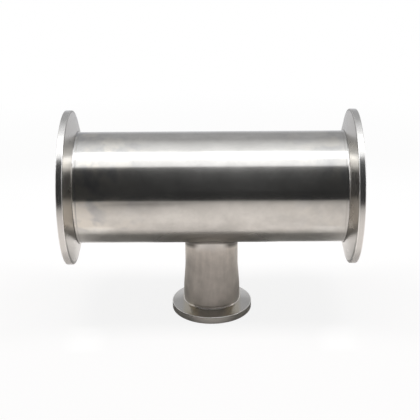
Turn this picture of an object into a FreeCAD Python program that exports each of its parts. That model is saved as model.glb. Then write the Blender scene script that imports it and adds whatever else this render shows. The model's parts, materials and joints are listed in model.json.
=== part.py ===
import FreeCAD, Part
import math
import os

# Vacuum tee: a run tube with a clamp flange at each end and a smaller flanged branch.
# It is a weldment in stainless steel, standing on the sealing face of its branch.
# Millimetres. The origin is the middle of the branch's sealing face, +Z runs up the
# branch to the run, and +X runs along the run.

# Overall places
run_length = 140.0           # from one run sealing face to the other
run_axis_height = 65.0       # from the branch's sealing face to the run's axis

# Run tube
run_bore = 50.0
run_tube_wall = 2.0

# Run flanges
run_flange_od = 75.0
run_rim_thickness = 3.0      # the cylindrical edge that the clamp ring covers
run_ring_seat_depth = 3.0    # recess for the centring ring
run_land_length = 1.0        # plain land from the cone's foot to the weld

# Branch stub
branch_bore = 24.0
branch_flange_od = 40.0
branch_rim_thickness = 3.5
branch_ring_seat_depth = 3.0
neck_foot_wall = 2.0
neck_top_wall = 1.1
neck_foot_height = 13.0      # how far up from the sealing face the neck keeps its full size
neck_taper_length = 11.5     # above that the neck narrows over this length
neck_blend_radius = 40.0     # soft change of slope at both ends of the taper

# Shared by all flanges
clamp_cone_angle = 15.0      # degrees between the back of a flange and its face
ring_seat_step = 1.1         # how much wider than the bore the centring ring's seat is, all round
rim_edge_round = 0.3
cone_foot_round = 0.6
lip_round = 0.2              # broken edges of the recess and of the bore

# Welds
seam_width = 0.7             # ring welds between the flanges and the tube
seam_crown = 0.02            # how far their bead stands out
branch_weld_radius = 1.3     # dressed fillet around the branch
branch_root_gap = 1.1        # between the end of the neck and the run tube, filled by the weld
branch_hole_round = 0.4      # broken edge of the branch hole inside the run

# Diameters that follow from the bores and walls
run_tube_od = run_bore + 2 * run_tube_wall
run_ring_seat_dia = run_bore + 2 * ring_seat_step
branch_ring_seat_dia = branch_bore + 2 * ring_seat_step
neck_foot_od = branch_bore + 2 * neck_foot_wall
neck_top_od = branch_bore + 2 * neck_top_wall

X_AXIS = FreeCAD.Vector(1, 0, 0)
Z_AXIS = FreeCAD.Vector(0, 0, 1)
ORIGIN = FreeCAD.Vector(0, 0, 0)
RUN_CENTRE = FreeCAD.Vector(0, 0, run_axis_height)
FULL_TURN = 360.0


def cone_rise(flange_od, foot_od):
    """Length along the axis that a flange's conical back takes, from rim to foot."""
    return (flange_od - foot_od) / 2 * math.tan(math.radians(clamp_cone_angle))


def rounded_outline(corners):
    """Closed face in the XZ plane from corners (along, out, rounding).

    Each corner with a rounding becomes an arc that is tangent to both of its sides.
    """
    points = [FreeCAD.Vector(out, 0, along) for along, out, rounding in corners]
    starts = []
    ends = []
    arcs = []
    for index, corner in enumerate(corners):
        rounding = corner[2]
        point = points[index]
        if rounding <= 0:
            starts.append(point)
            ends.append(point)
            arcs.append(None)
            continue
        to_last = (points[index - 1] - point).normalize()
        to_next = (points[(index + 1) % len(points)] - point).normalize()
        half_angle = to_last.getAngle(to_next) / 2
        reach = rounding / math.tan(half_angle)
        bisector = (to_last + to_next).normalize()
        starts.append(point + to_last * reach)
        ends.append(point + to_next * reach)
        middle = point + bisector * (rounding / math.sin(half_angle) - rounding)
        arcs.append(Part.Arc(starts[-1], middle, ends[-1]).toShape())
    edges = []
    for index in range(len(points)):
        if arcs[index]:
            edges.append(arcs[index])
        following = (index + 1) % len(points)
        edges.append(Part.LineSegment(ends[index], starts[following]).toShape())
    return Part.Face(Part.Wire(edges))


def turned(corners):
    """Solid of revolution about Z from an outline of corners."""
    return rounded_outline(corners).revolve(ORIGIN, Z_AXIS, FULL_TURN)


def along_run(solid, start, towards):
    """Lays a solid turned about Z along the run, from a place on its axis, facing towards +1 or -1."""
    placed = solid.copy()
    tilt = FreeCAD.Rotation(Z_AXIS, X_AXIS * towards)
    placed.Placement = FreeCAD.Placement(RUN_CENTRE + X_AXIS * start, tilt)
    return placed


def run_rod(diameter):
    """Plain rod on the run's axis, as long as the whole run."""
    start = RUN_CENTRE - X_AXIS * (run_length / 2)
    return Part.makeCylinder(diameter / 2, run_length, start, X_AXIS)


def branch_rod(diameter):
    """Plain rod on the branch's axis, from the sealing face up to the run's axis."""
    return Part.makeCylinder(diameter / 2, run_axis_height, ORIGIN, Z_AXIS)


def run_flange_length():
    """Face to the end of the land: the whole length of a run flange."""
    return run_rim_thickness + cone_rise(run_flange_od, run_tube_od) + run_land_length


def make_run_flange():
    """Run flange with its sealing face at zero and its land pointing up the Z axis."""
    cone_foot = run_rim_thickness + cone_rise(run_flange_od, run_tube_od)
    corners = [
        (0, run_ring_seat_dia / 2, lip_round),
        (0, run_flange_od / 2, rim_edge_round),
        (run_rim_thickness, run_flange_od / 2, rim_edge_round),
        (cone_foot, run_tube_od / 2, cone_foot_round),
        (run_flange_length(), run_tube_od / 2, 0),
        (run_flange_length(), run_bore / 2, 0),
        (run_ring_seat_depth, run_bore / 2, lip_round),
        (run_ring_seat_depth, run_ring_seat_dia / 2, 0),
    ]
    return turned(corners)


def make_seam():
    """Ring weld through the tube's wall: flush inside, with a low rounded bead outside."""
    inner = run_bore / 2
    outer = run_tube_od / 2
    foot_low = FreeCAD.Vector(outer, 0, 0)
    crown = FreeCAD.Vector(outer + seam_crown, 0, seam_width / 2)
    foot_high = FreeCAD.Vector(outer, 0, seam_width)
    root_high = FreeCAD.Vector(inner, 0, seam_width)
    root_low = FreeCAD.Vector(inner, 0, 0)
    edges = [
        Part.Arc(foot_low, crown, foot_high).toShape(),
        Part.LineSegment(foot_high, root_high).toShape(),
        Part.LineSegment(root_high, root_low).toShape(),
        Part.LineSegment(root_low, foot_low).toShape(),
    ]
    return Part.Face(Part.Wire(edges)).revolve(ORIGIN, Z_AXIS, FULL_TURN)


def crossing_edges(solid, run_radius, branch_radius):
    """Edges where a surface round the run's axis meets one round the branch's axis."""
    found = []
    for edge in solid.Edges:
        middle = edge.valueAt((edge.FirstParameter + edge.LastParameter) / 2)
        from_run = math.hypot(middle.y, middle.z - run_axis_height)
        from_branch = math.hypot(middle.x, middle.y)
        on_run = abs(from_run - run_radius) < 0.01
        on_branch = abs(from_branch - branch_radius) < 0.01
        if on_run and on_branch:
            found.append(edge)
    return found


def make_run_tube():
    """Run tube between the two seams, with the branch hole in its underside."""
    length = run_length - 2 * (run_flange_length() + seam_width)
    start = RUN_CENTRE - X_AXIS * (length / 2)
    outside = Part.makeCylinder(run_tube_od / 2, length, start, X_AXIS)
    inside = Part.makeCylinder(run_bore / 2, length, start, X_AXIS)
    tube = outside.cut(inside).cut(branch_rod(branch_bore))
    rim = crossing_edges(tube, run_bore / 2, branch_bore / 2)
    return tube.makeFillet(branch_hole_round, rim)


def make_branch_stub():
    """Branch flange and its tapering neck, turned as one and cut to sit on the run tube."""
    cone_foot = branch_rim_thickness + cone_rise(branch_flange_od, neck_foot_od)
    corners = [
        (0, branch_ring_seat_dia / 2, lip_round),
        (0, branch_flange_od / 2, rim_edge_round),
        (branch_rim_thickness, branch_flange_od / 2, rim_edge_round),
        (cone_foot, neck_foot_od / 2, cone_foot_round),
        (neck_foot_height, neck_foot_od / 2, neck_blend_radius),
        (neck_foot_height + neck_taper_length, neck_top_od / 2, neck_blend_radius),
        (run_axis_height, neck_top_od / 2, 0),
        (run_axis_height, branch_bore / 2, 0),
        (branch_ring_seat_depth, branch_bore / 2, lip_round),
        (branch_ring_seat_depth, branch_ring_seat_dia / 2, 0),
    ]
    return turned(corners).cut(run_rod(run_tube_od + 2 * branch_root_gap))


def make_branch_weld(stub):
    """Weld metal between the neck's end and the run tube, through the wall, with a fillet outside."""
    top_height = neck_foot_height + neck_taper_length
    top_start = FreeCAD.Vector(0, 0, top_height)
    neck_top = Part.makeCylinder(neck_top_od / 2, run_axis_height - top_height, top_start, Z_AXIS)
    run = run_rod(run_tube_od)
    joined = run.fuse(neck_top)
    corner = crossing_edges(joined, run_tube_od / 2, neck_top_od / 2)
    filled = joined.makeFillet(branch_weld_radius, corner)
    return filled.cut(run).cut(branch_rod(branch_bore)).cut(stub)


def single_solid(shape):
    """The one solid in a result, as a plain solid."""
    solids = shape.Solids
    if len(solids) != 1 or not shape.isValid():
        raise ValueError("expected one valid solid, found %d" % len(solids))
    return solids[0]


def save(name, shape):
    """Writes one piece to its own file and prints its size."""
    solid = single_solid(shape)
    solid.exportStep("parts/%s.step" % name)
    box = solid.optimalBoundingBox(True, False)
    print("%-18s %8.1f mm3  X %7.2f %7.2f  Y %7.2f %7.2f  Z %7.2f %7.2f" % (
        name, solid.Volume, box.XMin, box.XMax, box.YMin, box.YMax, box.ZMin, box.ZMax))


os.makedirs("parts", exist_ok=True)
run_face = run_length / 2
run_flange = make_run_flange()
branch_stub = make_branch_stub()
seam = make_seam()
seam_start = run_face - run_flange_length()

save("run_tube", make_run_tube())
save("left_run_flange", along_run(run_flange, -run_face, 1))
save("right_run_flange", along_run(run_flange, run_face, -1))
save("branch_stub", branch_stub)
save("left_flange_weld", along_run(seam, -seam_start, 1))
save("right_flange_weld", along_run(seam, seam_start, -1))
save("branch_weld", make_branch_weld(branch_stub))
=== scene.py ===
# %% [markdown]
# # Dressing a vacuum tee
# The part is a reducing vacuum tee in stainless steel: a straight run tube, a large clamp
# flange at each end, and a small flanged branch that leaves the middle and carries the tee.
# Its shape is already exact, because it was drawn as solids and packed. This lesson loads
# those solids, sets up the camera and a small photo studio round them, and then gives every
# piece the finish that it has on the real fitting. With bare metal the studio matters as
# much as the material, because a polished surface shows little but its surroundings.
# Sizes and places are in metres.

import json
import math

import bpy
from mathutils import Matrix, Vector


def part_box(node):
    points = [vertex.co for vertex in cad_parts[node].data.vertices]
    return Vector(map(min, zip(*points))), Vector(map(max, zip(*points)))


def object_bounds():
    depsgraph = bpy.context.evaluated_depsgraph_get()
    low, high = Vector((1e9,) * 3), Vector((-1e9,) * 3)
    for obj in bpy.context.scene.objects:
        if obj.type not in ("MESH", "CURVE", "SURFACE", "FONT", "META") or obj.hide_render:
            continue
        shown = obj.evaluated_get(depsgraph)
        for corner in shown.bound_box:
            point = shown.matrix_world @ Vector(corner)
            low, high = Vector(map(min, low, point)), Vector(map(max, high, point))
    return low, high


MM_PER_METRE = 1000

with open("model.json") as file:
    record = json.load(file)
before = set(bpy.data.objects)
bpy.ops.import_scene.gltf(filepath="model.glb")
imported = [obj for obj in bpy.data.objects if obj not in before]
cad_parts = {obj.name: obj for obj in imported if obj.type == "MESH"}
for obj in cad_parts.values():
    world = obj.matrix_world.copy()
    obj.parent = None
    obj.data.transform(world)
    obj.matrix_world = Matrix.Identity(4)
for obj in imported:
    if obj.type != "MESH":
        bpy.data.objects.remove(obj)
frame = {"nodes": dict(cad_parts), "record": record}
nodes = frame["nodes"]
cad_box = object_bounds()
bpy.ops.object.select_all(action="DESELECT")
print("pieces:", ", ".join(sorted(nodes)))
print("box in mm:", [round((high - low) * MM_PER_METRE, 1) for low, high in zip(*cad_box)])

# %% [markdown]
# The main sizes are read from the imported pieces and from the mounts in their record, so that
# a finish starts where the real surface does. Where a stain or a line lies is given beside
# its finish. The run lies along X at the height of its axis. The branch stands on Z.

# %% Places on the tee
mounts = {mount["name"]: mount for mount in frame["record"]["mounts"]}


def mount_size(mount_name, dimension):
    """One size of a mount. The record gives it in millimetres."""
    return mounts[mount_name]["dims"][dimension] / MM_PER_METRE


tube_low, tube_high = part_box("run_tube")
RUN_AXIS_HEIGHT = (tube_low.z + tube_high.z) / 2
TUBE_RADIUS = (tube_high.z - tube_low.z) / 2
RUN_FACE = cad_box[1].x
RUN_BORE_RADIUS = mount_size("run_bore", "r_mm")
RIM_RADIUS = mount_size("left_clamp_rim", "r_mm")
RIM_THICKNESS = mount_size("left_clamp_rim", "length_mm")
STUB_RIM_RADIUS = mount_size("branch_clamp_rim", "r_mm")
STUB_RIM_TOP = mount_size("branch_clamp_rim", "length_mm")
print("run axis %.1f mm up, tube radius %.1f mm" % (
    RUN_AXIS_HEIGHT * MM_PER_METRE, TUBE_RADIUS * MM_PER_METRE))
print("rim radii %.1f and %.1f mm" % (RIM_RADIUS * MM_PER_METRE, STUB_RIM_RADIUS * MM_PER_METRE))

# %% [markdown]
# ## Camera
# The picture was taken from the front and from above the run, with a long lens, so the two
# flanges look almost alike. A camera can be set by its place and three angles, but those
# are hard to read. Here it is set up the way a photographer would say it: where it looks,
# from which side and height, how far away it stands and how it is tilted.

# %% Camera
CAMERA_DISTANCE = 0.4793
CAMERA_AZIMUTH = math.radians(0.34)
CAMERA_ELEVATION = math.radians(22.43)
CAMERA_ROLL = math.radians(-0.47)
AIM_SIDEWAYS = -0.00048
AIM_UP = -0.01134
LENS_MM = 84.23
CLIP_NEAR = 0.01
CLIP_FAR = 50

toward_camera = Vector((
    math.sin(CAMERA_AZIMUTH) * math.cos(CAMERA_ELEVATION),
    -math.cos(CAMERA_AZIMUTH) * math.cos(CAMERA_ELEVATION),
    math.sin(CAMERA_ELEVATION),
))
level_right = Vector((math.cos(CAMERA_AZIMUTH), math.sin(CAMERA_AZIMUTH), 0))
level_up = toward_camera.cross(level_right)
camera_right = level_right * math.cos(CAMERA_ROLL) + level_up * math.sin(CAMERA_ROLL)
camera_up = level_up * math.cos(CAMERA_ROLL) - level_right * math.sin(CAMERA_ROLL)
aim = Vector((0, 0, RUN_AXIS_HEIGHT)) + camera_right * AIM_SIDEWAYS + camera_up * AIM_UP
eye = aim + toward_camera * CAMERA_DISTANCE

bpy.ops.object.camera_add()
camera = bpy.context.object
camera.name = "camera"
camera.data.lens = LENS_MM
camera.data.clip_start = CLIP_NEAR
camera.data.clip_end = CLIP_FAR
turn = Matrix((camera_right, camera_up, toward_camera)).transposed()
camera.matrix_world = Matrix.Translation(eye) @ turn.to_4x4()
bpy.context.scene.camera = camera
bpy.context.scene.view_settings.view_transform = "Standard"
print("camera at", [round(v, 3) for v in eye])

# %% [markdown]
# ## Helpers for node materials
# A material is a small network: something that says where a point is on the piece, patterns
# that vary over it, and the shader that takes colour, roughness and bump. Such a network can
# be drawn in the node editor. In a script each node takes several lines, so a few helpers
# bring that down to one: a helper for any node, and others for the sums that keep coming back.

# %% Nodes and sums
def add_node(tree, kind, settings=None, inputs=None):
    """Adds a node. A setting is one of its properties; an input is a number or another node's output."""
    made = tree.nodes.new(kind)
    for name, value in (settings or {}).items():
        setattr(made, name, value)
    for name, value in (inputs or {}).items():
        if isinstance(value, bpy.types.NodeSocket):
            tree.links.new(value, made.inputs[name])
        else:
            made.inputs[name].default_value = value
    return made


def maths(tree, operation, first, second=0.0):
    """One sum on numbers, such as ADD or ARCTAN2."""
    return add_node(tree, "ShaderNodeMath", {"operation": operation}, {0: first, 1: second}).outputs[0]


def product(tree, *factors):
    """Several numbers multiplied, one after the other."""
    result = factors[0]
    for factor in factors[1:]:
        result = maths(tree, "MULTIPLY", result, factor)
    return result


def remap(tree, value, low, high, to_low, to_high):
    """Stretches a value's range from low and high to two new ends, and holds it there."""
    return add_node(tree, "ShaderNodeMapRange", None, {
        "Value": value, "From Min": low, "From Max": high, "To Min": to_low, "To Max": to_high,
    }).outputs["Result"]


def band(tree, value, low, high, soft):
    """One between two values and zero outside them, with soft ends."""
    rising = remap(tree, value, low - soft, low, 0.0, 1.0)
    falling = remap(tree, value, high, high + soft, 1.0, 0.0)
    return product(tree, rising, falling)


# %% Colours and places
def blend_colours(tree, share, first, second):
    """A colour between two colours."""
    made = add_node(tree, "ShaderNodeMix", {"data_type": "RGBA"}, {0: share})
    for socket, value in ((made.inputs[6], first), (made.inputs[7], second)):
        if isinstance(value, bpy.types.NodeSocket):
            tree.links.new(value, socket)
        else:
            socket.default_value = (*value, 1)
    return made.outputs[2]


def axes(tree, place):
    """The three numbers of a place, as outputs named X, Y and Z."""
    return add_node(tree, "ShaderNodeSeparateXYZ", None, {0: place}).outputs


def length_of(tree, place):
    """How far a place is from the origin."""
    return add_node(tree, "ShaderNodeVectorMath", {"operation": "LENGTH"}, {0: place}).outputs["Value"]


# %% [markdown]
# ## The studio
# The tee stands on a pale table. In the picture its surroundings are plain white. The table
# could be lit until it is white, but then the tee would be lit too strongly as well. So to
# the camera alone the table looks like white paper away from the tee, and near the tee it
# keeps a little of its own shade with the tee's soft shadow.

# %% Table
TABLE_SIZE = 12.0

bpy.ops.mesh.primitive_plane_add(size=TABLE_SIZE)
table = bpy.context.object
table.name = "table"

table_paint = bpy.data.materials.new("pale_table")
table_paint.use_nodes = True
tree = table_paint.node_tree
tree.nodes.clear()
place = add_node(tree, "ShaderNodeTexCoord").outputs["Object"]
on_table = axes(tree, place)
sideways = on_table["X"]
depth = on_table["Y"]
print("table %.0f m wide" % TABLE_SIZE)

# %% [markdown]
# The steel mirrors the table, and areas painted on the table steer what it mirrors.
# A white band behind the tee is painted light: it is paler than the rest and glows a
# little of itself, and it shows in the undersides of the flanges. A soft grey area in
# front on the left is painted shade, which takes a little light off that end of the tube.
# Two small white areas under the ends of the run are painted light, which lightens the
# lowest strip of the tube there. Each could be a plane of its own. As soft-edged areas of
# the table's paint they need no edges to hide and can't be seen from other sides as loose
# pieces.

# %% Painted light and shade on the table
TABLE_COLOUR = (0.80, 0.79, 0.785)
# painted light: the white band behind the tee, and the same white for the areas under the ends
PAINTED_LIGHT_WHITE = (1.0, 1.0, 1.0)
LIT_BAND_DEPTH = (0.075, 0.17)
LIT_BAND_SOFTNESS = 0.06
# painted shade: a darker area of the table in front on the left
SHADE_PATCH_COLOUR = (0.415, 0.41, 0.41)
SHADE_PATCH_SIDES = (-0.076, -0.031)
SHADE_PATCH_SIDE_SOFTNESS = 0.014
SHADE_PATCH_FAR_EDGE = (-0.43, -0.32)
SHADE_PATCH_NEAR_EDGE = (-0.29, -0.22)
SHADE_PATCH_NEAR_SHARE = 0.68
SHADE_PATCH_END = -0.09
# painted light: two small white areas under the ends of the run
LIGHT_PATCH_SIDES = (0.057, 0.064)
LIGHT_PATCH_SIDE_SOFTNESS = 0.008
LIGHT_PATCH_DEPTH = (-0.043, -0.025)
LIGHT_PATCH_SOFTNESS = 0.005

# where the painted light and painted shade lie on the table
on_lit_band = band(tree, depth, *LIT_BAND_DEPTH, LIT_BAND_SOFTNESS)
shade_patch_far = remap(tree, depth, *SHADE_PATCH_FAR_EDGE, 0.0, 1.0)
shade_patch_near = remap(tree, depth, *SHADE_PATCH_NEAR_EDGE, 1.0, SHADE_PATCH_NEAR_SHARE)
shade_patch_thinned = remap(tree, depth, SHADE_PATCH_NEAR_EDGE[1], SHADE_PATCH_END, 1.0, 0.0)
on_shade_patch_width = band(tree, sideways, *SHADE_PATCH_SIDES, SHADE_PATCH_SIDE_SOFTNESS)
on_shade_patch = product(tree, shade_patch_near, shade_patch_thinned, shade_patch_far, on_shade_patch_width)
either_side = maths(tree, "ABSOLUTE", sideways)
on_light_patch = product(
    tree,
    band(tree, either_side, *LIGHT_PATCH_SIDES, LIGHT_PATCH_SIDE_SOFTNESS),
    band(tree, depth, *LIGHT_PATCH_DEPTH, LIGHT_PATCH_SOFTNESS))
shade_patched = blend_colours(tree, on_shade_patch, TABLE_COLOUR, SHADE_PATCH_COLOUR)
light_patched = blend_colours(tree, on_light_patch, shade_patched, PAINTED_LIGHT_WHITE)
table_colour = blend_colours(tree, on_lit_band, light_patched, PAINTED_LIGHT_WHITE)
print("sheet fully white from %.3f to %.3f m behind the tee's middle" % LIT_BAND_DEPTH)

# %% Table paint
# The painted light band behind the tee also glows a little of itself.
LIT_BAND_GLOW = 0.16
LIT_BAND_GLOW_COLOUR = (0.86, 0.97, 1.0)
PAPER_REACH = (0.10, 0.40)
PAPER_SHARE = (0.87, 1.0)
WHITE = (1, 1, 1, 1)

reflecting = add_node(tree, "ShaderNodeBsdfDiffuse", None, {"Color": table_colour}).outputs[0]
glowing = add_node(tree, "ShaderNodeEmission", None, {
    "Color": (*LIT_BAND_GLOW_COLOUR, 1), "Strength": product(tree, on_lit_band, LIT_BAND_GLOW)}).outputs[0]
matt = add_node(tree, "ShaderNodeAddShader", None, {0: reflecting, 1: glowing}).outputs[0]
paper = add_node(tree, "ShaderNodeEmission", None, {"Color": WHITE, "Strength": 1.0}).outputs[0]
camera_ray = add_node(tree, "ShaderNodeLightPath").outputs["Is Camera Ray"]
paper_share = remap(tree, length_of(tree, place), *PAPER_REACH, *PAPER_SHARE)
seen_directly = product(tree, camera_ray, paper_share)
mixed = add_node(tree, "ShaderNodeMixShader", None, {0: seen_directly, 1: matt, 2: paper}).outputs[0]
add_node(tree, "ShaderNodeOutputMaterial", None, {"Surface": mixed})
table.data.materials.append(table_paint)
print("table paint:", len(tree.nodes), "nodes")

# %% [markdown]
# A polished tube is a curved mirror. From top to bottom the picture shows on it: a grey wall
# behind, a pale ceiling with a white softbox in it, a dark room in front, and the table.
# Walls and lamps could be built one by one. But the reflections hardly change along the
# tube, so only the elevation counts, and the tee stands in a half round tunnel whose inside
# has these tones, one after the other, from the front edge over the top to the back edge.
# The tunnel is there for reflections only: the camera looks through it, and it neither
# lights the table nor shades it.

# %% Shape of the tunnel
TUNNEL_RADIUS = 0.425
TUNNEL_FORWARD = 0.095
TUNNEL_LENGTH = 4.0
TUNNEL_FACES = 96
TUNNEL_FOOT_HEIGHT = 0.001

bpy.ops.mesh.primitive_cylinder_add(
    vertices=TUNNEL_FACES, radius=TUNNEL_RADIUS, depth=TUNNEL_LENGTH, end_fill_type="NOTHING",
    location=(0, -TUNNEL_FORWARD, RUN_AXIS_HEIGHT), rotation=(0, math.pi / 2, 0))
tunnel = bpy.context.object
tunnel.name = "tunnel"
bpy.ops.object.mode_set(mode="EDIT")
bpy.ops.mesh.select_all(action="SELECT")
bpy.ops.mesh.bisect(plane_co=(0, 0, TUNNEL_FOOT_HEIGHT), plane_no=(0, 0, 1), clear_inner=True)
bpy.ops.object.mode_set(mode="OBJECT")
bpy.ops.object.transform_apply(location=True, rotation=True, scale=True)
tunnel.visible_camera = False
tunnel.visible_diffuse = False
tunnel.visible_shadow = False
print("tunnel faces:", len(tunnel.data.polygons))

# %% [markdown]
# The tones are pairs: an elevation in degrees, from the front edge over the top, and the
# brightness there. The dark room in front is a little lighter in the middle, round the
# camera, so a second list gives what that light patch adds.

# %% Tones of the surroundings
TUNNEL_TINT = (0.98, 0.993, 1.037)
TUNNEL_TONES = [
    (-7, 0.038),
    (25, 0.036),
    (52, 0.052),
    (60.1, 0.1),
    (62.5, 1.29),
    (66, 1.40),
    (71, 1.47),
    (77, 1.58),
    (84.5, 3.7),
    (90.6, 3.7),
    (92.6, 2.4),
    (94.6, 1.42),
    (97.6, 1.17),
    (112, 0.92),
    (131, 0.47),
    (163, 0.43),
    (176, 0.70),
]
PATCH_TONES = [
    (10, 0.0),
    (13, 0.018),
    (26, 0.028),
    (34, 0.036),
    (47, 0.075),
    (58, 0.19),
    (63, 0.0),
]
PATCH_MIDDLE = 0.03
PATCH_HALF_WIDTH = 0.16
RAMP_START = -10.0
RAMP_END = 190.0
STRAIGHT_UP = 90.0


def tone_ramp(tree, share, tones):
    """A ramp over the elevation, with a tone at each of its angles."""
    ramp = add_node(tree, "ShaderNodeValToRGB", None, {"Fac": share})
    stops = ramp.color_ramp.elements
    while len(stops) > 1:
        stops.remove(stops[-1])
    for index, (degrees, tone) in enumerate(tones):
        where = (degrees - RAMP_START) / (RAMP_END - RAMP_START)
        stop = stops[0] if index == 0 else stops.new(where)
        stop.position = where
        stop.color = (tone, tone, tone, 1)
    return ramp.outputs["Color"]


# %% Paint of the tunnel
tunnel_paint = bpy.data.materials.new("tunnel_tones")
tunnel_paint.use_nodes = True
tree = tunnel_paint.node_tree
tree.nodes.clear()
parts = axes(tree, add_node(tree, "ShaderNodeTexCoord").outputs["Object"])
height = maths(tree, "SUBTRACT", parts["Z"], RUN_AXIS_HEIGHT)
from_top = maths(tree, "ARCTAN2", parts["Y"], height)
ramp_low = math.radians(RAMP_START - STRAIGHT_UP)
ramp_high = math.radians(RAMP_END - STRAIGHT_UP)
share = remap(tree, from_top, ramp_low, ramp_high, 0.0, 1.0)
aside = maths(tree, "ABSOLUTE", maths(tree, "SUBTRACT", parts["X"], PATCH_MIDDLE))
nearness = add_node(tree, "ShaderNodeMapRange", {"interpolation_type": "SMOOTHSTEP"}, {
    "Value": aside, "From Min": 0.0, "From Max": PATCH_HALF_WIDTH, "To Min": 1.0, "To Max": 0.0,
}).outputs["Result"]
patch = product(tree, nearness, tone_ramp(tree, share, PATCH_TONES))
tone = maths(tree, "ADD", tone_ramp(tree, share, TUNNEL_TONES), patch)
glow = add_node(tree, "ShaderNodeEmission", None, {
    "Color": (*TUNNEL_TINT, 1), "Strength": tone}).outputs[0]
add_node(tree, "ShaderNodeOutputMaterial", None, {"Surface": glow})
tunnel.data.materials.append(tunnel_paint)
print("tunnel tones:", len(TUNNEL_TONES), "and", len(PATCH_TONES), "for the patch")

# %% [markdown]
# The lamp that lights the table hangs where the tunnel has its white band. The band could
# light the table as well, but a lamp gives a cleaner shadow in less time. It is hidden from
# reflections, because the band already stands for it there.

# %% Overhead lamp
LAMP_POWER = 1.83
LAMP_COLOUR = (1.0, 0.95, 0.942)
LAMP_HEIGHT = 0.42
LAMP_LENGTH = 0.5
LAMP_WIDTH = 0.10
LAMP_FORWARD = 0.031

bpy.ops.object.light_add(type="AREA", location=(0, -LAMP_FORWARD, LAMP_HEIGHT))
lamp = bpy.context.object
lamp.name = "overhead_softbox"
lamp.data.shape = "RECTANGLE"
lamp.data.size = LAMP_LENGTH
lamp.data.size_y = LAMP_WIDTH
lamp.data.energy = LAMP_POWER
lamp.data.color = LAMP_COLOUR
lamp.visible_glossy = False
lamp.visible_camera = False
print("lamp power:", LAMP_POWER, "W")

# %% [markdown]
# The world fills the shadows with a little even light. To the camera and in reflections it
# is white paper, like the rest of the surroundings.

# %% World
FILL = 0.27

world = bpy.data.worlds.new("studio")
bpy.context.scene.world = world
world.use_nodes = True
tree = world.node_tree
tree.nodes.clear()
path = add_node(tree, "ShaderNodeLightPath").outputs
mirrored = maths(tree, "MAXIMUM", path["Is Glossy Ray"], path["Is Transmission Ray"])
shown = maths(tree, "MAXIMUM", path["Is Camera Ray"], mirrored)
fill = add_node(tree, "ShaderNodeBackground", None, {"Color": WHITE, "Strength": FILL}).outputs[0]
white = add_node(tree, "ShaderNodeBackground", None, {"Color": WHITE, "Strength": 1.0}).outputs[0]
mixed = add_node(tree, "ShaderNodeMixShader", None, {0: shown, 1: fill, 2: white}).outputs[0]
add_node(tree, "ShaderNodeOutputWorld", None, {"Surface": mixed})
print("world fill:", FILL)

# %% [markdown]
# ## Steel
# All pieces are the same stainless steel, so one function makes the shader, and each finish
# adds what is its own. Its colours, clouds and rings could come from pictures of steel laid
# round the pieces. Patterns that are worked out from the place of a point show no seam, look
# right from every side and stay sharp close up, so all finishes here are made of those.

# %% Steel
def new_steel(name):
    """A metal material with its tree, its shader and the place of a point on the piece."""
    steel = bpy.data.materials.new(name)
    steel.use_nodes = True
    tree = steel.node_tree
    shader = tree.nodes["Principled BSDF"]
    shader.inputs["Metallic"].default_value = 1.0
    place = add_node(tree, "ShaderNodeTexCoord").outputs["Object"]
    return steel, tree, shader, place


def dress(steel, *names):
    """Gives a finish to pieces of the tee."""
    for name in names:
        nodes[name].data.materials.clear()
        nodes[name].data.materials.append(steel)
        print(name + ":", steel.name)


# %% Patterns
# the middle value of a pattern, and the span that nearly all of its clouds lie in
MID_VALUE = 0.5
CLOUD_SPAN = (0.3, 0.7)


def moved(tree, place, location=(0, 0, 0), scale=(1, 1, 1)):
    """The place of a point after a move and a stretch."""
    return add_node(tree, "ShaderNodeMapping", None, {
        "Vector": place, "Location": location, "Scale": scale}).outputs[0]


def noise(tree, place, scale, detail, roughness):
    """A cloudy pattern from 0 to 1. The scale is in clouds per metre."""
    return add_node(tree, "ShaderNodeTexNoise", None, {
        "Vector": place, "Scale": scale, "Detail": detail, "Roughness": roughness}).outputs["Fac"]


def bump(tree, height, distance, below=None):
    """Turns a height pattern into a bumpy surface. The distance is the full height."""
    inputs = {"Height": height, "Distance": distance, "Strength": 1.0}
    if below is not None:
        inputs["Normal"] = below
    return add_node(tree, "ShaderNodeBump", None, inputs).outputs[0]


def blend_numbers(tree, share, first, second):
    """A number between two numbers."""
    return add_node(tree, "ShaderNodeMix", {"data_type": "FLOAT"}, {
        0: share, 2: first, 3: second}).outputs[0]


def shaded(tree, colour, shade):
    """A colour made darker or lighter."""
    return add_node(tree, "ShaderNodeVectorMath", {"operation": "SCALE"}, {
        0: colour, "Scale": shade}).outputs[0]


# %% [markdown]
# ## The polish of the run
# The tube was polished with a belt while it turned, together with the short lands of the
# flanges, so tube and lands share the functions of this step. The polish is a little deeper
# in some places than in others, which shows as soft clouds of three sizes. The upper
# shoulder came out more even than the rest. A number along the run and a number out from
# its axis say where a point is.

# %% Places on the run
PATTERN_SHIFT = (0.11, 0.03, 0.05)
CALM_SHOULDER = (0.0195, 0.0258)
CALM_SOFT = 0.0015


def run_places(tree, place):
    """How far a point is along the run, how far out from its axis, and its place from that axis."""
    centred = moved(tree, place, location=(0, 0, -RUN_AXIS_HEIGHT))
    out = length_of(tree, moved(tree, centred, scale=(0, 1, 1)))
    along = axes(tree, centred)["X"]
    return along, out, centred


def upper_calm(tree, centred):
    """One on the upper shoulder, where the polish is most even."""
    return band(tree, axes(tree, centred)["Z"], *CALM_SHOULDER, CALM_SOFT)


def pattern_place(tree, centred):
    """The place that the patterns of the polish are worked out from."""
    return moved(tree, centred, location=PATTERN_SHIFT)


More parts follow.
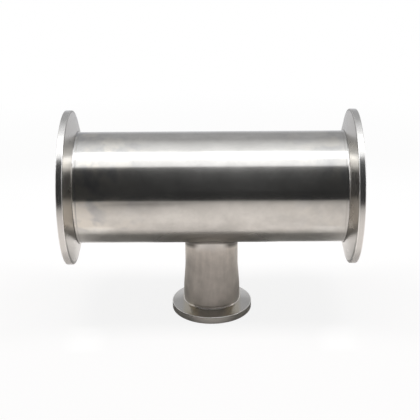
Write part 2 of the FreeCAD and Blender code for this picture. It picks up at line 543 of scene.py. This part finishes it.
# %% Clouds in the polish
# each kind of cloud: how many to the metre, how many finer sizes, and how strong those are
BROAD_CLOUDS = (55, 2.0, 0.5)
MIDDLE_CLOUDS = (125, 3.0, 0.55)
SMALL_CLOUDS = (520, 3.0, 0.6)
MIDDLE_STRETCH = (0.8, 1, 1)
BROAD_SHARE = 0.3
MIDDLE_SHARE = 0.5
SMALL_SHARE = 0.2
POLISH_SPAN = (0.40, 0.60)
CALM_CLOUDS = 0.55
STEEL_LIGHT = (0.72, 0.702, 0.654)
STEEL_DARK = (0.60, 0.584, 0.543)


def broad_clouds(tree, centred):
    """The widest clouds, which the roughness follows too."""
    return noise(tree, pattern_place(tree, centred), *BROAD_CLOUDS)


def clean_polish(tree, centred):
    """The colour of the polish without stains."""
    place = pattern_place(tree, centred)
    broad = product(tree, broad_clouds(tree, centred), BROAD_SHARE)
    middle_clouds = noise(tree, moved(tree, place, scale=MIDDLE_STRETCH), *MIDDLE_CLOUDS)
    middle = product(tree, middle_clouds, MIDDLE_SHARE)
    small = product(tree, noise(tree, place, *SMALL_CLOUDS), SMALL_SHARE)
    mottle = maths(tree, "ADD", broad, maths(tree, "ADD", middle, small))
    clouds = remap(tree, mottle, *POLISH_SPAN, 0.0, 1.0)
    calmed = blend_numbers(tree, product(tree, upper_calm(tree, centred), CALM_CLOUDS), clouds, MID_VALUE)
    return blend_colours(tree, calmed, STEEL_DARK, STEEL_LIGHT)


# %% [markdown]
# Beside the welds the steel got hot, and a thin stain of straw and grey is left there. It is
# strongest at the ends of the run, comes in patches, and is weaker on the right and hardly
# seen on the underside. The right end is a little darker as a whole. The lower middle, mostly
# on the left, is darkened with painted shade: there the tube mirrors the stub's shadow on the table.

# %% Heat stain and painted shade
STRAW = (0.77, 0.73, 0.648)
BLUE_GREY = (0.49, 0.488, 0.481)
STAIN_HUES = (120, 2.0, 0.5)
STAIN_HUE_SHIFT = (0.3, 0, 0)
STAIN_PATCHES = (80, 2.0, 0.5)
STAIN_PATCH_SHIFT = (0, 0.2, 0)
STAIN_SPAN = (0.42, 0.58)
STAIN_LEAST = 0.3
HEAT_REACH = 0.045
HEAT_FULL = 0.006
RIGHT_TINT_START = (-0.01, 0.01)
RIGHT_TINT_SHARE = 0.5
UNDERSIDE_TINT_START = (-0.013, -0.010)
UNDERSIDE_TINT_SHARE = 0.1
RIGHT_END = (0.044, 0.056)
RIGHT_END_SHADE = 0.92
PAINTED_SHADE_SIDES = (-0.024, 0.004)
PAINTED_SHADE_SIDE_SOFTNESS = 0.014
PAINTED_SHADE_FADE = (-0.0115, -0.0075)
PAINTED_SHADE_STRENGTH = 0.82


def heat_stain(tree, centred):
    """The colour of the stain, straw in some places and grey in others."""
    hues = noise(tree, moved(tree, pattern_place(tree, centred), location=STAIN_HUE_SHIFT), *STAIN_HUES)
    return blend_colours(tree, remap(tree, hues, *STAIN_SPAN, 0.0, 1.0), STRAW, BLUE_GREY)


def heat_share(tree, along, centred):
    """How strong the stain is."""
    above_axis = axes(tree, centred)["Z"]
    either_end = maths(tree, "ABSOLUTE", along)
    end_nearness = remap(tree, either_end, RUN_FACE - HEAT_REACH, RUN_FACE - HEAT_FULL, 0.0, 1.0)
    patch_place = moved(tree, pattern_place(tree, centred), location=STAIN_PATCH_SHIFT)
    patchy = remap(tree, noise(tree, patch_place, *STAIN_PATCHES), *STAIN_SPAN, STAIN_LEAST, 1.0)
    right_share = remap(tree, along, *RIGHT_TINT_START, 1.0, RIGHT_TINT_SHARE)
    upper_share = remap(tree, above_axis, *UNDERSIDE_TINT_START, UNDERSIDE_TINT_SHARE, 1.0)
    return product(tree, right_share, upper_share, end_nearness, patchy)


def polished_colour(tree, along, centred):
    """The whole colour of the polished run, with its painted shade."""
    above_axis = axes(tree, centred)["Z"]
    stained = blend_colours(
        tree, heat_share(tree, along, centred), clean_polish(tree, centred), heat_stain(tree, centred))
    right_shade = remap(tree, along, *RIGHT_END, 1.0, RIGHT_END_SHADE)
    # painted shade over the lower middle, mostly on the left
    in_painted_shade = product(
        tree,
        band(tree, along, *PAINTED_SHADE_SIDES, PAINTED_SHADE_SIDE_SOFTNESS),
        remap(tree, above_axis, *PAINTED_SHADE_FADE, 1.0, 0.0))
    return shaded(tree, stained, product(tree, right_shade, blend_numbers(tree, in_painted_shade, 1.0, PAINTED_SHADE_STRENGTH)))


# %% [markdown]
# ## The polished tube
# On the tube itself the belt also left very fine rings, and slight waves that one sees only
# as an unsteady edge of the reflections. Rings and waves could be modelled, but they are a
# few hundredths of a millimetre and less, so bump does it. Round the branch the wheel that
# dressed the weld has dulled the tube, and there its colour is darkened with painted shade,
# for the shade between the tube and the branch. Inside, it has the dull finish that it was drawn with.

# %% Zones of the tube
DRESSED_REACH = 0.031
DRESSED_SOFT = 0.005
DRESSED_TOP = (-0.0157, -0.0134)
BORE_END = (RUN_BORE_RADIUS + 0.0003, RUN_BORE_RADIUS + 0.0006)

steel, tree, shader, place = new_steel("polished_tube_finish")
along, out, centred = run_places(tree, place)
inside = remap(tree, out, *BORE_END, 1.0, 0.0)
underside = remap(tree, axes(tree, centred)["Z"], *DRESSED_TOP, 1.0, 0.0)
from_branch = length_of(tree, moved(tree, centred, scale=(1, 1, 0)))
near_branch = remap(tree, from_branch, DRESSED_REACH - DRESSED_SOFT, DRESSED_REACH + DRESSED_SOFT, 1.0, 0.0)
dulled_and_shaded = product(tree, underside, near_branch)
print("dulled zone: %.0f mm round the branch" % (DRESSED_REACH * MM_PER_METRE))

# %% Finish of the tube
DRESSED_SHADED_STEEL = (0.30, 0.288, 0.265)
DRAWN_STEEL = (0.50, 0.48, 0.45)
POLISHED_ROUGHNESS = (0.12, 0.16)
DRESSED_ROUGHNESS = 0.42
DRAWN_ROUGHNESS = 0.38
BELT_RINGS = (2200, 3.0, 0.6)
BELT_RING_STRETCH = (1, 0.05, 0.05)
BELT_RING_HEIGHT = 0.0000015
WAVES = (45, 1.0, 0.4)
WAVE_STRETCH = (0.5, 1, 1)
WAVE_HEIGHT = 0.00003
CALM_WAVES = 0.6

# painted shade: the darker colour round the branch
outside_colour = blend_colours(tree, dulled_and_shaded, polished_colour(tree, along, centred), DRESSED_SHADED_STEEL)
tree.links.new(blend_colours(tree, inside, outside_colour, DRAWN_STEEL), shader.inputs["Base Color"])
polished_roughness = remap(tree, broad_clouds(tree, centred), *CLOUD_SPAN, *POLISHED_ROUGHNESS)
outside_roughness = blend_numbers(tree, dulled_and_shaded, polished_roughness, DRESSED_ROUGHNESS)
tree.links.new(blend_numbers(tree, inside, outside_roughness, DRAWN_ROUGHNESS), shader.inputs["Roughness"])
waves = noise(tree, moved(tree, centred, scale=WAVE_STRETCH), *WAVES)
calmed_waves = blend_numbers(tree, product(tree, upper_calm(tree, centred), CALM_WAVES), waves, MID_VALUE)
wavy = bump(tree, calmed_waves, WAVE_HEIGHT)
rings = noise(tree, moved(tree, centred, scale=BELT_RING_STRETCH), *BELT_RINGS)
tree.links.new(bump(tree, rings, BELT_RING_HEIGHT, wavy), shader.inputs["Normal"])
dress(steel, "run_tube")

# %% [markdown]
# ## The turned flanges
# The flanges come off a lathe. Face and cone show fine rings round the axis, so that pattern
# depends only on the place along the axis and the distance from it. The rim was turned
# smoother. The same two numbers say whether a point is on the land, at the cone's foot, on
# the rim or at one of the rim's two edges. Each zone could be a material of its own on
# chosen faces, but then it would end in a hard step.

# %% Zones of a flange
LINE_SOFT = 0.0001
CONE_FOOT_RING = (TUBE_RADIUS + 0.00012, TUBE_RADIUS + 0.0005)
LAND_RING = (TUBE_RADIUS - 0.0005, CONE_FOOT_RING[0])
RIM_START = (RIM_RADIUS - 0.0003, RIM_RADIUS - 0.0001)
EDGE_START = (RIM_RADIUS - 0.00035, RIM_RADIUS - 0.0001)
EDGE_FROM_MIDDLE = (0.0011, 0.0012)

steel, tree, shader, place = new_steel("turned_flange_finish")
along, out, centred = run_places(tree, place)
above_axis = axes(tree, centred)["Z"]
from_face = maths(tree, "SUBTRACT", RUN_FACE, maths(tree, "ABSOLUTE", along))
on_land = band(tree, out, *LAND_RING, LINE_SOFT)
at_foot = band(tree, out, *CONE_FOOT_RING, LINE_SOFT)
on_rim = remap(tree, out, *RIM_START, 0.0, 1.0)
from_middle = maths(tree, "ABSOLUTE", maths(tree, "SUBTRACT", from_face, RIM_THICKNESS / 2))
at_edge = product(
    tree,
    remap(tree, out, *EDGE_START, 0.0, 1.0),
    remap(tree, from_middle, *EDGE_FROM_MIDDLE, 0.0, 1.0))
smooth = maths(tree, "MAXIMUM", on_land, on_rim)
print("cone foot ring: %.2f to %.2f mm from the axis" % tuple(r * MM_PER_METRE for r in CONE_FOOT_RING))

# %% [markdown]
# A brown darkening lies low on the front of each cone, the darker one on the right: partly a
# heat stain of the welds, partly painted shade. At the foot of each cone runs a fine line of
# painted shade nearly all round, which turns into a painted highlight on the upper shoulder.

# %% Colour of the cones
CONE_STEEL_DARK = (0.60, 0.578, 0.54)
CONE_STEEL_LIGHT = (0.68, 0.655, 0.615)
FLANGE_CLOUDS = (90, 3.0, 0.5)
CONE_STAIN_AND_SHADE = (0.36, 0.328, 0.285)
# each spot of stain and painted shade: its middle, from where to where it fades, and its strength
CONE_STAIN_AND_SHADE_SPOTS = [
    ((0.066, -0.0315, -0.0075), (0.008, 0.020), 0.78),
    ((-0.066, -0.0315, -0.003), (0.004, 0.012), 0.50),
]
CONE_STAIN_AND_SHADE_FADE = (-0.009, -0.005)
CONE_STAIN_AND_SHADE_FADE_SHARE = 0.25
CONE_FOOT_PAINTED_SHADE = (0.36, 0.345, 0.32)
CONE_FOOT_PAINTED_HIGHLIGHT = (0.95, 0.93, 0.88)
CONE_FOOT_HIGHLIGHT_HEIGHTS = (0.0198, 0.0238)
CONE_FOOT_HIGHLIGHT_SOFT = 0.001


def distance(tree, first, second):
    """How far two places are apart."""
    return add_node(tree, "ShaderNodeVectorMath", {"operation": "DISTANCE"}, {
        0: first, 1: second}).outputs["Value"]


clouds = noise(tree, centred, *FLANGE_CLOUDS)
clean_cone = blend_colours(tree, clouds, CONE_STEEL_DARK, CONE_STEEL_LIGHT)
# brown stain and painted shade low on the front of the cones
stain_and_shade_share = 0.0
for spot_middle, spot_reach, strength in CONE_STAIN_AND_SHADE_SPOTS:
    stain_and_shade = remap(tree, distance(tree, centred, spot_middle), *spot_reach, strength, 0.0)
    stain_and_shade_share = maths(tree, "ADD", stain_and_shade, stain_and_shade_share)
faded_share = product(tree, stain_and_shade_share, remap(tree, above_axis, *CONE_STAIN_AND_SHADE_FADE, CONE_STAIN_AND_SHADE_FADE_SHARE, 1.0))
turned = blend_colours(tree, faded_share, clean_cone, CONE_STAIN_AND_SHADE)
landed = blend_colours(tree, on_land, turned, polished_colour(tree, along, centred))
# the foot line: painted shade, and a painted highlight on the upper shoulder
foot_highlight = band(tree, above_axis, *CONE_FOOT_HIGHLIGHT_HEIGHTS, CONE_FOOT_HIGHLIGHT_SOFT)
foot_colour = blend_colours(tree, foot_highlight, CONE_FOOT_PAINTED_SHADE, CONE_FOOT_PAINTED_HIGHLIGHT)
footed = blend_colours(tree, at_foot, landed, foot_colour)
print("stains:", len(CONE_STAIN_AND_SHADE_SPOTS))

# %% [markdown]
# The rim's edges carry a painted highlight, except at the top, where they are a little darker
# than the rim. A thin line of painted shade runs close behind the rim, on the cone, and it is
# wider towards the bottom.

# %% Rim, painted edge highlight and shade line
RIM_STEEL = (0.72, 0.705, 0.668)
EDGE_PAINTED_HIGHLIGHT = (0.97, 0.95, 0.91)
EDGE_TOP_COLOUR = (0.62, 0.605, 0.57)
EDGE_HIGHLIGHT_FADE = (0.026, 0.031)
SHADE_LINE_COLOUR = (0.28, 0.266, 0.24)
SHADE_LINE_PLACE = (RIM_RADIUS - 0.0008, RIM_RADIUS - 0.0004)
LOW_SHADE_LINE_PLACE = (RIM_RADIUS - 0.0014, RIM_RADIUS - 0.0004)
LOW_SHADE_LINE_START = (-0.017, -0.012)
RIM_END = (RIM_THICKNESS - 0.0002, RIM_THICKNESS)

rimmed = blend_colours(tree, on_rim, footed, RIM_STEEL)
# painted highlight on the rim's edges, darker at the top
edge_fade = remap(tree, above_axis, *EDGE_HIGHLIGHT_FADE, 0.0, 1.0)
edge_colour = blend_colours(tree, edge_fade, EDGE_PAINTED_HIGHLIGHT, EDGE_TOP_COLOUR)
edged = blend_colours(tree, at_edge, rimmed, edge_colour)
behind_rim = remap(tree, from_face, *RIM_END, 0.0, 1.0)
# painted shade: a thin dark line behind the rim, wider towards the bottom
line = band(tree, out, *SHADE_LINE_PLACE, LINE_SOFT)
low_line = product(
    tree,
    band(tree, out, *LOW_SHADE_LINE_PLACE, LINE_SOFT),
    remap(tree, above_axis, *LOW_SHADE_LINE_START, 1.0, 0.0))
in_line = product(tree, maths(tree, "MAXIMUM", line, low_line), behind_rim)
tree.links.new(blend_colours(tree, in_line, edged, SHADE_LINE_COLOUR), shader.inputs["Base Color"])
print("tool line at %.1f mm from the axis" % (SHADE_LINE_PLACE[0] * MM_PER_METRE))

# %% Finish of the flanges
CONE_ROUGHNESS = (0.26, 0.32)
LAND_ROUGHNESS = 0.14
RIM_ROUGHNESS = 0.21
CONE_FOOT_ROUGHNESS = 0.36
EDGE_ROUGHNESS = 0.42
LATHE_RINGS = (3200, 3.0, 0.6)
FLANGE_RING_HEIGHT = 0.000003
SMOOTH_RING_SHARE = 0.25

cone_roughness = remap(tree, clouds, *CLOUD_SPAN, *CONE_ROUGHNESS)
smooth_roughness = blend_numbers(tree, on_rim, LAND_ROUGHNESS, RIM_ROUGHNESS)
faces_roughness = blend_numbers(tree, smooth, cone_roughness, smooth_roughness)
footed_roughness = blend_numbers(tree, at_foot, faces_roughness, CONE_FOOT_ROUGHNESS)
edged_roughness = blend_numbers(tree, at_edge, footed_roughness, EDGE_ROUGHNESS)
tree.links.new(edged_roughness, shader.inputs["Roughness"])
lathe_place = add_node(tree, "ShaderNodeCombineXYZ", None, {0: along, 1: out}).outputs[0]
rings = noise(tree, lathe_place, *LATHE_RINGS)
ring_height = blend_numbers(tree, smooth, rings, product(tree, rings, SMOOTH_RING_SHARE))
tree.links.new(bump(tree, ring_height, FLANGE_RING_HEIGHT), shader.inputs["Normal"])
dress(steel, "left_run_flange", "right_run_flange")

# %% [markdown]
# ## The satin stub
# The branch is duller and warmer than the run. Its neck was brushed up and down by hand,
# which leaves soft upright streaks. Painted shade makes it darker towards its foot and in the
# middle of the front and back, and painted light makes it lighter towards its top and sides.
# Its places are the distance from the branch's axis, the height, the distance to either side,
# and how far a point is below the surface of the tube.

# %% Places on the stub
NECK_START = (0.0050, 0.0054)
SATIN_START = (0.0055, 0.0061)

steel, tree, shader, place = new_steel("satin_stub_finish")
out = length_of(tree, moved(tree, place, scale=(1, 1, 0)))
height = axes(tree, place)["Z"]
aside = maths(tree, "ABSOLUTE", axes(tree, place)["X"])
from_run_axis = length_of(
    tree, moved(tree, moved(tree, place, location=(0, 0, -RUN_AXIS_HEIGHT)), scale=(0, 1, 1)))
below_tube = maths(tree, "SUBTRACT", from_run_axis, TUBE_RADIUS)
on_neck = remap(tree, height, *NECK_START, 0.0, 1.0)
satin = remap(tree, height, *SATIN_START, 0.0, 1.0)
print("neck starts %.1f mm up" % (NECK_START[1] * MM_PER_METRE))

# %% Brushed neck
NECK_DARK = (0.50, 0.469, 0.427)
NECK_LIGHT = (0.66, 0.619, 0.563)
STREAKS = (260, 4.0, 0.6)
STREAK_STRETCH = (1, 1, 0.12)
STREAK_SHARE = 0.5
BLOTCHES = (170, 4.0, 0.6)
BLOTCH_SHARE = 0.5
BRUSHING_SPAN = (0.36, 0.64)
NECK_LOWER = (0.008, 0.026)
NECK_FOOT_PAINTED_SHADE = 0.90
NECK_UPPER = (0.026, 0.0365)
NECK_TOP_PAINTED_LIGHT = 1.30
NECK_ASIDE = (0.002, 0.010)
NECK_FRONT_PAINTED_SHADE = 0.90
NECK_SIDE_PAINTED_LIGHT = 1.06

streaks = noise(tree, moved(tree, place, scale=STREAK_STRETCH), *STREAKS)
blotches = noise(tree, place, *BLOTCHES)
brushing = maths(tree, "ADD", product(tree, streaks, STREAK_SHARE), product(tree, blotches, BLOTCH_SHARE))
neck_colour = blend_colours(tree, remap(tree, brushing, *BRUSHING_SPAN, 0.0, 1.0), NECK_DARK, NECK_LIGHT)
# painted shade at the foot and in the front and back middle, painted light at the top and sides
upright_painted_light = product(
    tree,
    remap(tree, height, *NECK_LOWER, NECK_FOOT_PAINTED_SHADE, 1.0),
    remap(tree, height, *NECK_UPPER, 1.0, NECK_TOP_PAINTED_LIGHT))
across_painted_light = remap(tree, aside, *NECK_ASIDE, NECK_FRONT_PAINTED_SHADE, NECK_SIDE_PAINTED_LIGHT)
print("neck shade: %.2f at the foot, %.2f at the top" % (NECK_FOOT_PAINTED_SHADE, NECK_TOP_PAINTED_LIGHT))

# %% [markdown]
# Just above the foot of the neck lies a darker ring of painted shade, in the middle of the front
# and back. When the weld above the neck was dressed, the wheel also touched the top of the
# neck and left a patch with a ragged border along the weld: smoother than the neck, and painted
# brighter as a highlight, most at the sides. The corners beside it are painted shade.

# %% Foot ring of painted shade, dressed patch with painted highlight, and shaded corners
NECK_FOOT_RING = (0.0055, 0.0065)
NECK_FOOT_RING_SOFT = 0.0004
NECK_FOOT_RING_SIDES = (0.0065, 0.0095)
NECK_FOOT_RING_PAINTED_SHADE = 0.78
PATCH_FRONT_HIGHLIGHT = (0.61, 0.589, 0.552)
PATCH_SIDE_HIGHLIGHT = (0.76, 0.734, 0.688)
PATCH_SIDE_START = (0.0015, 0.0065)
PATCH_DEPTH = (0.0022, 0.0050)
PATCH_REACH = (0.0062, 0.0092)
RAGGED_BORDER = 0.005
CORNER_PAINTED_SHADE = (0.26, 0.245, 0.222)
CORNER_DEPTH = (0.0018, 0.0034)
CORNER_START = (0.0052, 0.0088)

# painted shade: the darker ring above the foot
on_foot_ring = product(
    tree,
    band(tree, height, *NECK_FOOT_RING, NECK_FOOT_RING_SOFT),
    remap(tree, aside, *NECK_FOOT_RING_SIDES, 1.0, 0.0))
ringed_painted_light = product(tree, blend_numbers(tree, on_foot_ring, 1.0, NECK_FOOT_RING_PAINTED_SHADE), across_painted_light)
shaded_neck = shaded(tree, neck_colour, product(tree, upright_painted_light, ringed_painted_light))
ragged = product(tree, maths(tree, "SUBTRACT", blotches, MID_VALUE), RAGGED_BORDER)
on_patch = product(
    tree,
    remap(tree, maths(tree, "ADD", below_tube, ragged), *PATCH_DEPTH, 1.0, 0.0),
    remap(tree, maths(tree, "ADD", aside, ragged), *PATCH_REACH, 1.0, 0.0))
# the patch's colour is a painted highlight, brighter at the sides
patch_side = remap(tree, aside, *PATCH_SIDE_START, 0.0, 1.0)
patch_colour = blend_colours(tree, patch_side, PATCH_FRONT_HIGHLIGHT, PATCH_SIDE_HIGHLIGHT)
patched_neck = blend_colours(tree, on_patch, shaded_neck, patch_colour)
# painted shade in the corners beside the patch, under the tube
in_corner = product(
    tree,
    remap(tree, below_tube, *CORNER_DEPTH, 1.0, 0.0),
    remap(tree, aside, *CORNER_START, 0.0, 1.0))
whole_neck = blend_colours(tree, in_corner, patched_neck, CORNER_PAINTED_SHADE)
print("dressed patch: %.0f mm to either side" % (PATCH_REACH[0] * MM_PER_METRE))

# %% [markdown]
# The small flange keeps the smooth finish of the lathe. Its cone carries painted reflections
# of the neck: darker in the middle and warmer beside that. The rim is darkened with painted
# shade, its upper edge carries a painted highlight, and a line of painted shade runs just
# under that edge. At the foot of the neck is one more fine line, a painted reflection: dark
# in the middle and bright at the sides.

# %% Small flange
STUB_CLOUDS = (110, 3.0, 0.5)
STUB_CLOUD_STRETCH = (1, 1, 0.6)
STUB_CONE_DARK = (0.58, 0.56, 0.52)
STUB_CONE_LIGHT = (0.72, 0.70, 0.66)
STUB_CONE_WARM_REFLECTION = (0.66, 0.61, 0.51)
STUB_CONE_WARM_REFLECTION_SIDES = (0.0070, 0.0130)
STUB_CONE_WARM_REFLECTION_SOFT = 0.002
STUB_CONE_DARK_REFLECTION = (0.565, 0.535, 0.49)
STUB_CONE_DARK_REFLECTION_REACH = (0.0050, 0.0085)
STUB_RIM_SHADED_STEEL = (0.555, 0.535, 0.50)
STUB_RIM_START = (STUB_RIM_RADIUS - 0.0003, STUB_RIM_RADIUS - 0.0002)

clouds = noise(tree, moved(tree, place, scale=STUB_CLOUD_STRETCH), *STUB_CLOUDS)
clean_cone = blend_colours(tree, clouds, STUB_CONE_DARK, STUB_CONE_LIGHT)
# painted reflections on the small cone: warm beside the middle, dark in the middle
on_tint = band(tree, aside, *STUB_CONE_WARM_REFLECTION_SIDES, STUB_CONE_WARM_REFLECTION_SOFT)
tinted_cone = blend_colours(tree, on_tint, clean_cone, STUB_CONE_WARM_REFLECTION)
in_middle = remap(tree, aside, *STUB_CONE_DARK_REFLECTION_REACH, 1.0, 0.0)
cone_colour = blend_colours(tree, in_middle, tinted_cone, STUB_CONE_DARK_REFLECTION)
# painted shade: the small rim is darker than the cone
on_rim = remap(tree, out, *STUB_RIM_START, 0.0, 1.0)
rimmed_cone = blend_colours(tree, on_rim, cone_colour, STUB_RIM_SHADED_STEEL)
print("small rim: %.1f mm high" % (STUB_RIM_TOP * MM_PER_METRE))

# %% Edge and lines of the stub
STUB_EDGE_PAINTED_HIGHLIGHT = (0.97, 0.95, 0.90)
STUB_EDGE_REACH = (0.00026, 0.00034)
RIM_LINE = (STUB_RIM_TOP - 0.0007, STUB_RIM_TOP - 0.00032)
RIM_LINE_SOFT = 0.00008
RIM_LINE_PAINTED_SHADE = (0.40, 0.385, 0.355)
FOOT_LINE = (0.00515, 0.0055)
FOOT_LINE_PAINTED_SHADE = (0.36, 0.345, 0.32)
FOOT_LINE_PAINTED_HIGHLIGHT = (0.74, 0.71, 0.66)
FOOT_LINE_SIDES = (0.0055, 0.0085)

# painted highlight on the small rim's upper edge
section_place = add_node(tree, "ShaderNodeCombineXYZ", None, {0: out, 1: height}).outputs[0]
from_edge = distance(tree, section_place, (STUB_RIM_RADIUS, STUB_RIM_TOP, 0))
at_edge = remap(tree, from_edge, *STUB_EDGE_REACH, 1.0, 0.0)
edged_cone = blend_colours(tree, at_edge, rimmed_cone, STUB_EDGE_PAINTED_HIGHLIGHT)
# painted shade: the dark line just under the small rim's edge
below_edge = product(tree, on_rim, band(tree, height, *RIM_LINE, RIM_LINE_SOFT))
small_flange = blend_colours(tree, below_edge, edged_cone, RIM_LINE_PAINTED_SHADE)
unlined = blend_colours(tree, on_neck, small_flange, whole_neck)
# painted reflection at the foot of the neck: dark in the middle, bright at the sides
foot_line = band(tree, height, *FOOT_LINE, LINE_SOFT)
line_side = remap(tree, aside, *FOOT_LINE_SIDES, 0.0, 1.0)
line_colour = blend_colours(tree, line_side, FOOT_LINE_PAINTED_SHADE, FOOT_LINE_PAINTED_HIGHLIGHT)
tree.links.new(blend_colours(tree, foot_line, unlined, line_colour), shader.inputs["Base Color"])
print("foot line %.2f mm up" % (FOOT_LINE[0] * MM_PER_METRE))

# %% Finish of the stub
BRUSHED_ROUGHNESS = (0.50, 0.60)
PATCH_ROUGHNESS = 0.36
STUB_CONE_RING = (0.0150, 0.0192)
STUB_CONE_SOFT = 0.0004
STUB_CONE_ROUGHNESS = 0.20
STUB_RIM_ROUGHNESS = 0.17
STUB_EDGE_ROUGHNESS = 0.35
STUB_PATTERN_HEIGHT = 0.000006

brushed_roughness = remap(tree, clouds, *CLOUD_SPAN, *BRUSHED_ROUGHNESS)
neck_roughness = blend_numbers(tree, on_patch, brushed_roughness, PATCH_ROUGHNESS)
on_cone = band(tree, out, *STUB_CONE_RING, STUB_CONE_SOFT)
turned_roughness = blend_numbers(tree, on_cone, STUB_RIM_ROUGHNESS, STUB_CONE_ROUGHNESS)
edged_roughness = blend_numbers(tree, at_edge, turned_roughness, STUB_EDGE_ROUGHNESS)
tree.links.new(blend_numbers(tree, satin, edged_roughness, neck_roughness), shader.inputs["Roughness"])
lathe_place = add_node(tree, "ShaderNodeCombineXYZ", None, {0: height, 1: out}).outputs[0]
rings = noise(tree, lathe_place, *LATHE_RINGS)
pattern = blend_numbers(tree, on_neck, rings, streaks)
tree.links.new(bump(tree, pattern, STUB_PATTERN_HEIGHT), shader.inputs["Normal"])
dress(steel, "branch_stub")

# %% [markdown]
# ## The dressed welds
# The ring seams were ground flush and polished with the tube, so they look almost like it.
# The fillet round the branch was only dressed with a wheel. It is rougher, and its colour is
# darker, partly from the weld and partly as painted shade in the corner under the tube.
# Both have a fine even grain, so one function makes them, with other colours and another depth.

# %% Dressed welds
WELD_GRAIN = (900, 4.0, 0.6)
SEAM_DARK = (0.50, 0.485, 0.452)
SEAM_LIGHT = (0.58, 0.564, 0.527)
SEAM_ROUGHNESS = (0.13, 0.20)
SEAM_GRAIN_HEIGHT = 0.000004
FILLET_SHADED_DARK = (0.22, 0.207, 0.188)
FILLET_SHADED_LIGHT = (0.34, 0.323, 0.297)
FILLET_ROUGHNESS = (0.34, 0.42)
FILLET_GRAIN_HEIGHT = 0.00001


def grained_weld(name, dark, light, roughness, grain_height):
    """A dressed weld with a fine even grain."""
    steel, tree, shader, place = new_steel(name)
    grain = noise(tree, place, *WELD_GRAIN)
    tree.links.new(blend_colours(tree, grain, dark, light), shader.inputs["Base Color"])
    tree.links.new(remap(tree, grain, *CLOUD_SPAN, *roughness), shader.inputs["Roughness"])
    tree.links.new(bump(tree, grain, grain_height), shader.inputs["Normal"])
    return steel


seam = grained_weld("ground_seam_finish", SEAM_DARK, SEAM_LIGHT, SEAM_ROUGHNESS, SEAM_GRAIN_HEIGHT)
dress(seam, "left_flange_weld", "right_flange_weld")
# the fillet's darker colour holds painted shade
fillet = grained_weld(
    "dressed_shaded_fillet_finish", FILLET_SHADED_DARK, FILLET_SHADED_LIGHT, FILLET_ROUGHNESS, FILLET_GRAIN_HEIGHT)
dress(fillet, "branch_weld")
